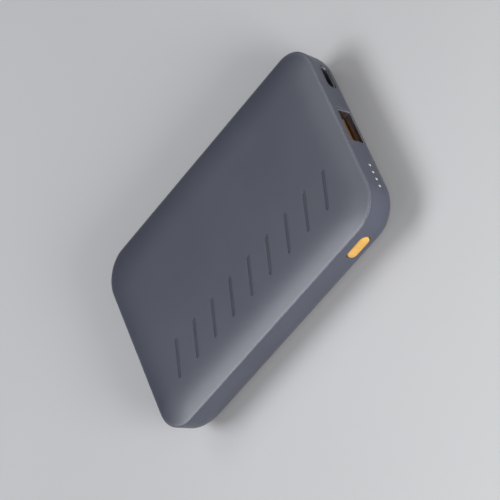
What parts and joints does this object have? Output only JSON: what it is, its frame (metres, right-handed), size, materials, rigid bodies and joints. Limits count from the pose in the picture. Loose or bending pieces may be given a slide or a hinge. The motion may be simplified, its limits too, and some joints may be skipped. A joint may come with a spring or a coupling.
{
  "type": "power bank",
  "caption": "Slim rectangular pocket power bank with a crowned matte front, USB-C and USB-A sockets and charge lights on one end, and an orange side push button.",
  "frame": {"origin": "centre of the flat rear face, which is the bottom centre of the bounding box when the power bank lies on its back", "axes": "+X along the length towards the end with the sockets and lights, +Z out of the crowned front face, and the side button faces -Y"},
  "size_m": [0.107, 0.069, 0.015],
  "materials": {
    "case_plastic": "fine matte moulded texture, dark blue-grey",
    "button_plastic": "satin orange",
    "socket_steel": "pressed and tinned sheet",
    "orange_insulator": "moulded",
    "black_insulator": "moulded",
    "contact_gold": "gold-plated",
    "board_laminate": "solder mask",
    "light_plastic": "milky, polished",
    "chip_plastic": "moulded",
    "ceramic": "fired ceramic",
    "ferrite": "pressed powder",
    "cell_foil": "laminated pouch foil",
    "nickel": "rolled strip",
    "foam": "closed-cell foam",
    "adhesive": "double-sided tape",
    "amber_tape": "polyimide tape",
    "screw_steel": "zinc-plated",
    "red_silicone": "wire insulation",
    "black_silicone": "wire insulation"
  },
  "bodies": {
    "case": {"battery_cell": "cell_foil", "board_screw_1": "screw_steel", "board_screw_2": "screw_steel", "capacitor_1": "ceramic", "capacitor_2": "ceramic", "capacitor_3": "ceramic", "capacitor_4": "ceramic", "cell_adhesive_pad": "adhesive", "cell_end_tape": "amber_tape", "cell_tab_minus": "nickel", "cell_tab_plus": "nickel", "charge_light_1": "light_plastic", "charge_light_2": "light_plastic", "charge_light_3": "light_plastic", "charge_light_4": "light_plastic", "controller_chip": "chip_plastic", "foam_pad_1": "foam", "foam_pad_2": "foam", "front_cover": "case_plastic", "lead_black": "black_silicone", "lead_red": "red_silicone", "light_guide": "light_plastic", "main_board": "board_laminate", "mosfet_1": "chip_plastic", "mosfet_2": "chip_plastic", "port_chip": "chip_plastic", "power_inductor": "ferrite", "rear_cover": "case_plastic", "sense_resistor": "chip_plastic", "switch_body": "black_insulator", "switch_frame": "socket_steel", "usb_a_contact_1": "contact_gold", "usb_a_contact_2": "contact_gold", "usb_a_contact_3": "contact_gold", "usb_a_contact_4": "contact_gold", "usb_a_insulator": "orange_insulator", "usb_a_shell": "socket_steel", "usb_c_contacts_front": "contact_gold", "usb_c_contacts_rear": "contact_gold", "usb_c_insulator": "black_insulator", "usb_c_shell": "socket_steel"},
    "button": {"button_cap": "button_plastic"},
    "plunger": {"switch_plunger": "light_plastic"}
  },
  "joints": [
    {"name": "button_press", "type": "slide", "parent": "case", "child": "button", "axis": [0, 1, 0], "range_m": [0, 0.0004], "stiffness_N_per_m": 2500},
    {"name": "switch_press", "type": "slide", "parent": "case", "child": "plunger", "axis": [0, 1, 0], "range_m": [0, 0.00025]}
  ],
  "couplings": [
    {"joint": "switch_press", "follows": "button_press", "ratio": 0.625}
  ]
}
